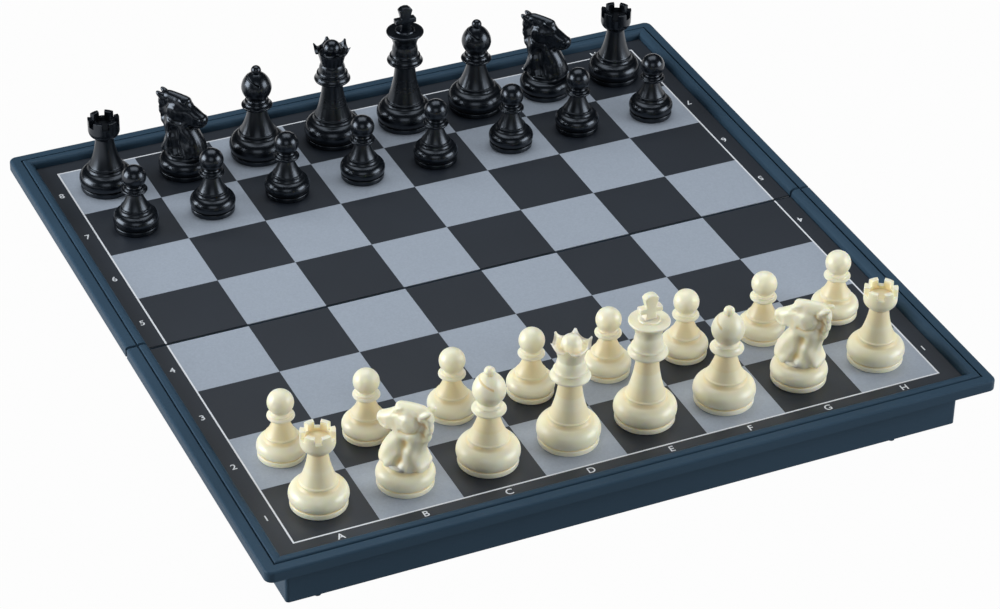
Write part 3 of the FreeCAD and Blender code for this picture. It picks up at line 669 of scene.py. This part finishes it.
along = numpy.roll(edge, -1, axis=0) - numpy.roll(edge, 1, axis=0)
inward = numpy.stack((-along[:, 1], along[:, 0]), 1) / numpy.hypot(along[:, 0], along[:, 1])[:, None]
spots = [edge]
for inset in INSETS:
    ring = edge + inward * inset
    spots.append(ring[gap(ring, edge, True) > 0.85 * inset])
across, height = numpy.mgrid[-12.0:12.5:GRID, 10.0:40.0:GRID]
grid = numpy.stack((across.ravel(), height.ravel()), 1)
spots.append(grid[gap(grid, edge, True) > INSETS[-1] + 0.3])
spots = numpy.concatenate(spots)
border = [(i, (i + 1) % len(edge)) for i in range(len(edge))]
filled = delaunay_2d_cdt([Vector(spot) for spot in spots.tolist()], border, [], 1, 1e-5)
print("horse outline:", len(edge), "points,", len(filled[2]), "triangles")

# %% [markdown]
# Each place in the table below is forwards, upwards, half the thickness there and the radius of the
# rounding towards the edge. The lines are the hollow behind the chest, which widens at its foot, the
# hollow along the mane, which fades at its foot, the edge of the jaw, the mouth, the locks of the
# mane, the brow, the swelling over the nostril and the eye. The cheek is a round plateau. Two long
# drops are the ears, and a voxel skin melts everything into one surface.

# %% Horse's thickness
PLACES = numpy.array([(0, 9.5, 8.6, 0.8), (5.0, 10.0, 7.6, 1.2), (-5.0, 10.0, 7.6, 1.2),
                      (8.5, 10.5, 6.0, 3.0), (-7.5, 10.5, 6.0, 2.5), (8.0, 15.0, 5.8, 4.5),
                      (4.5, 20.0, 5.2, 4.0), (-3.5, 16.0, 6.4, 3.0), (-4.5, 24.0, 4.9, 3.0),
                      (-1.0, 31.5, 4.2, 3.0), (5.5, 30.0, 3.4, 2.6), (10.5, 28.5, 2.8, 2.3),
                      (-7.0, 30.0, 3.8, 2.5), (-11.0, 30.0, 2.4, 1.5), (-5.5, 37.5, 2.8, 3.5),
                      (1.5, 36.5, 2.8, 3.2)])
LINES = [(-1.3, 1.7, [(-2.0, 22.5), (-0.8, 16.0), (1.2, 9.5)]), (-0.9, 2.4, [(0.6, 13.0), (1.6, 9.5)]),
         (-1.4, 1.8, [(-9.0, 32.5), (-8.6, 26.0), (-7.8, 18.5)]), (-0.6, 1.8, [(-7.8, 18.5), (-6.6, 11.0)]),
         (-0.8, 0.6, [(-6.4, 34.8), (-7.5, 31.2), (-6.0, 28.0), (-2.4, 26.8), (0.6, 27.2)]),
         (-0.7, 0.35, [(12.6, 27.6), (8.4, 27.0)]), (-0.5, 0.4, [(-6.5, 36.8), (-11.8, 34.0)]),
         (-0.5, 0.4, [(-7.4, 33.0), (-11.8, 29.8)]), (-0.5, 0.4, [(-7.4, 28.6), (-11.0, 25.4)]),
         (0.7, 0.7, [(0.6, 37.6), (4.4, 35.4)]), (0.5, 0.8, [(10.9, 30.2), (10.8, 30.0)]),
         (-0.6, 0.5, [(2.6, 34.4), (4.6, 33.6)])]
CHEEK = (-3.6, 31.2)
CHEEK_RADIUS = 3.4
CHEEK_RAISE = 0.6
EAR = (-9.8, 2.0, 37.1)
EAR_RADII = (3.3, 1.4, 1.4)
EAR_TILT = math.radians(35)
VOXEL = 0.3
points = numpy.array([tuple(point) for point in filled[0]])
inside = gap(points, edge, True)
nearness = 1.0 / (((points[:, None] - PLACES[:, :2]) ** 2).sum(2) + 2.0) ** 2
thick = (nearness * PLACES[:, 2]).sum(1) / nearness.sum(1)
rounding = (nearness * PLACES[:, 3]).sum(1) / nearness.sum(1)
fade = numpy.clip(inside / rounding, 0.0, 1.0)
for depth, width, line in LINES:
    thick += depth * numpy.exp(-(gap(points, numpy.array(line, dtype=float), False) / width) ** 2)
cheek = numpy.hypot(points[:, 0] - CHEEK[0], points[:, 1] - CHEEK[1])
thick += CHEEK_RAISE / (1.0 + numpy.exp((cheek - CHEEK_RADIUS) / 0.3))
thick = numpy.maximum(thick, 0.8) * numpy.sqrt(1.0 - (1.0 - fade) ** 2)
bm = bmesh.new()
sides = []
for side in (1.0, -1.0):
    sides.append([bm.verts.new((x * MM, side * y * MM, z * MM)) for (x, z), y in zip(points, thick)])
for face in filled[2]:
    bm.faces.new([sides[0][i] for i in face])
    bm.faces.new([sides[1][i] for i in reversed(face)])
bmesh.ops.remove_doubles(bm, verts=bm.verts, dist=1e-6)
for side in (1.0, -1.0):
    middle = Vector((EAR[0], side * EAR[1], EAR[2])) * MM
    place = Matrix.Translation(middle) @ Matrix.Rotation(EAR_TILT, 4, "Y")
    stretch = Matrix.Diagonal([radius * MM for radius in EAR_RADII]).to_4x4()
    bmesh.ops.create_icosphere(bm, subdivisions=3, radius=1.0, matrix=place @ stretch)


def melt(piece):
    skin = piece.modifiers.new("skin", "REMESH")
    skin.mode = "VOXEL"
    skin.voxel_size = VOXEL * MM
    relax = piece.modifiers.new("relax", "SMOOTH")
    relax.factor = 0.5
    relax.iterations = 3


horse = baked(bm, "horse", melt)
print("horse:", len(horse.vertices), "vertices")

# %% [markdown]
# The painted shade of a sculpted skin is found another way: the skin is relaxed much further, and where
# the relaxed skin lies outside the real one, the real one is hollow there and gets painted shade.

# %% Hollows of the horse
RELAX_ROUNDS = 60
FULL_HOLLOW = 0.6


def mark_hollows(mesh, rounds, full):
    spots = numpy.zeros(len(mesh.vertices) * 3)
    mesh.vertices.foreach_get("co", spots)
    spots = spots.reshape(-1, 3) / MM
    normals = numpy.zeros(len(mesh.vertices) * 3)
    mesh.vertices.foreach_get("normal", normals)
    pairs = numpy.zeros(len(mesh.edges) * 2, dtype=int)
    mesh.edges.foreach_get("vertices", pairs)
    pairs = pairs.reshape(-1, 2)
    counts = numpy.bincount(pairs.ravel(), minlength=len(spots))[:, None]
    relaxed = spots.copy()
    for _ in range(rounds):
        total = numpy.zeros_like(relaxed)
        numpy.add.at(total, pairs[:, 0], relaxed[pairs[:, 1]])
        numpy.add.at(total, pairs[:, 1], relaxed[pairs[:, 0]])
        relaxed = total / counts
    # How far a vertex lies below the relaxed skin sets its painted shade.
    depth = ((relaxed - spots) * normals.reshape(-1, 3)).sum(axis=1)
    shade_marks = mesh.attributes.new("recess_shade", "FLOAT", "POINT")
    shade_marks.data.foreach_set("value", numpy.clip(depth / full, 0.0, 1.0))
    return float(depth.max())


deepest = mark_hollows(horse, RELAX_ROUNDS, FULL_HOLLOW)
bm = lathe(foot(11.7, 8.9, 9.1) + [(0, 11.4)], ROUND)
bm.from_mesh(horse)
shapes["knight"] = finish_mesh(bm, "knight")
print("knight:", len(shapes["knight"].vertices), "vertices, deepest hollow %.2f mm" % deepest)

# %% [markdown]
# ## Setting out the men
# The men stand where the CAD model has them: each on its square, with the small shift and turn that
# hands give. Men of one kind and colour share a mesh, so a change to the mesh changes all of them.

# %% Men on the board
BACK_ROW = 3.5
PAWN_ROW = 2.5
BACK_RANK = ("rook", "knight", "bishop", "queen", "king", "bishop", "knight", "rook")
SET_DOWN = {
    "white_rook_a": (0.0, 1.2, 10), "white_knight_b": (0.7, 0.5, 129), "white_bishop_c": (0.6, 0.3, -25),
    "white_queen_d": (0.4, 0.8, 24), "white_king_e": (-0.6, 1.8, 0), "white_bishop_f": (-0.9, 0.55, -70),
    "white_knight_g": (-1.3, 1.7, 129), "white_rook_h": (-0.8, 1.7, 0),
    "white_pawn_a": (-1.9, 0.6, 0), "white_pawn_b": (-1.1, 0.4, 0), "white_pawn_c": (0.3, 0.0, 0),
    "white_pawn_d": (0.0, 0.4, 0), "white_pawn_e": (-0.6, 1.4, 0), "white_pawn_f": (-1.1, 0.5, 0),
    "white_pawn_g": (-0.9, -0.45, 0), "white_pawn_h": (-0.5, 1.4, 0),
    "black_rook_a": (-1.2, 0.3, 20), "black_knight_b": (0.0, 0.0, -51), "black_bishop_c": (-0.6, 0.3, -25),
    "black_queen_d": (0.0, -0.3, -6), "black_king_e": (0.0, -0.2, 0), "black_bishop_f": (0.0, 0.0, -25),
    "black_knight_g": (0.0, 0.0, -51), "black_rook_h": (0.0, 0.0, 0),
    "black_pawn_c": (-0.5, 0.0, 0), "black_pawn_f": (1.25, -1.1, 0), "black_pawn_g": (-0.5, 0.2, 0),
    "black_pawn_h": (0.7, -1.8, 0),
}
SETS = (("white", -1, ivory, "ivory_plastic"), ("black", 1, ebony, "black_plastic"))
for colour, side, plastic, slot in SETS:
    meshes = {}
    for kind, mesh in shapes.items():
        meshes[kind] = mesh.copy()
        meshes[kind].name = colour + "_" + kind
        meshes[kind].materials.clear()
        meshes[kind].materials.append(plastic)
    for index, letter in enumerate("abcdefgh"):
        for kind, row in ((BACK_RANK[index], BACK_ROW), ("pawn", PAWN_ROW)):
            label = "%s_%s_%s" % (colour, kind, letter)
            across, along, angle = SET_DOWN.get(label, (0.0, 0.0, 0))
            man = bpy.data.objects.new(label + "_man", meshes[kind])
            man.location = ((index - MIDDLE_FILE) * SQUARE + across * MM,
                            side * (FOLD_EDGE + row * SQUARE) + along * MM, printed_face)
            man.rotation_euler = (0.0, 0.0, math.radians(angle))
            bpy.context.scene.collection.objects.link(man)
            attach(man, label)
            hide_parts(label)
    print(colour, "men set out")
for mesh in list(shapes.values()) + [cross_mesh, horse]:
    bpy.data.meshes.remove(mesh)

# %% [markdown]
# ## Floor
# The photograph has a plain white ground. A wide floor takes the soft shadow of the case; seen by the
# camera, or in a reflection, nearly all of it glows with a strength of one, which is white. For the
# light that it throws back on the case it is a grey paper.

# %% Floor
WHITE_SHARE = 0.98
FLOOR_REACH = 60.0
paper, tree = new_material("white_paper_sweep")
way = add(tree, "ShaderNodeLightPath", {})
seen = add(tree, "ShaderNodeMath", {0: way.outputs["Is Camera Ray"], 1: way.outputs["Is Glossy Ray"]},
           operation="MAXIMUM")
share = add(tree, "ShaderNodeMath", {0: seen.outputs[0], 1: WHITE_SHARE}, operation="MULTIPLY")
lit = add(tree, "ShaderNodeBsdfDiffuse", {"Color": linear("585858")})
glow = add(tree, "ShaderNodeEmission", {"Color": (1.0, 1.0, 1.0, 1.0), "Strength": 1.0})
both = add(tree, "ShaderNodeMixShader", {0: share.outputs[0], 1: lit.outputs[0], 2: glow.outputs[0]})
add(tree, "ShaderNodeOutputMaterial", {"Surface": both.outputs[0]})
bm = bmesh.new()
bmesh.ops.create_grid(bm, x_segments=4, y_segments=4, size=FLOOR_REACH)
mesh = bpy.data.meshes.new("floor")
bm.to_mesh(mesh)
bm.free()
mesh.materials.append(paper)
floor = bpy.data.objects.new("floor", mesh)
bpy.context.scene.collection.objects.link(floor)
print("floor laid")

# %% [markdown]
# ## Light
# The light is a large soft box overhead, a little behind the board, and a soft box on each side, which
# is what leaves the middle of each stem darker than its edges. A weak box beside the camera and a dim
# bluish world fill the shadows. Each lamp has its place and its width and height in metres, and watts.

# %% Lamps
AIM = Vector((0, 0, 0.04))
LAMPS = {
    "overhead_box": ((0.15, 0.5, 1.35), (1.3, 1.0), 10.5),
    "left_box": ((-1.25, 0.4, 0.42), (0.9, 0.7), 19.0),
    "right_box": ((1.15, -0.75, 0.5), (0.9, 0.7), 14.0),
    "front_box": ((-0.6, -1.3, 1.0), (1.0, 0.8), 4.0),
}
for name, (spot, (wide, high), watts) in LAMPS.items():
    lamp = bpy.data.lights.new(name, "AREA")
    lamp.shape = "RECTANGLE"
    lamp.size = wide
    lamp.size_y = high
    lamp.energy = watts
    lamp.color = (0.93, 0.97, 1.0)
    box = bpy.data.objects.new(name, lamp)
    box.location = spot
    box.rotation_euler = (AIM - Vector(spot)).to_track_quat("-Z", "Y").to_euler()
    bpy.context.scene.collection.objects.link(box)
world = bpy.data.worlds.new("studio")
bpy.context.scene.world = world
world.use_nodes = True
world.node_tree.nodes.clear()
air = add(world.node_tree, "ShaderNodeBackground", {"Color": (0.9, 0.95, 1.0, 1.0), "Strength": 0.02})
add(world.node_tree, "ShaderNodeOutputWorld", {"Surface": air.outputs[0]})
print("lamps:", ", ".join(LAMPS))

# %% [markdown]
# ## The end
# The view layer is updated once more, so that every piece stands where it was set.

# %% Finish
bpy.context.view_layer.update()
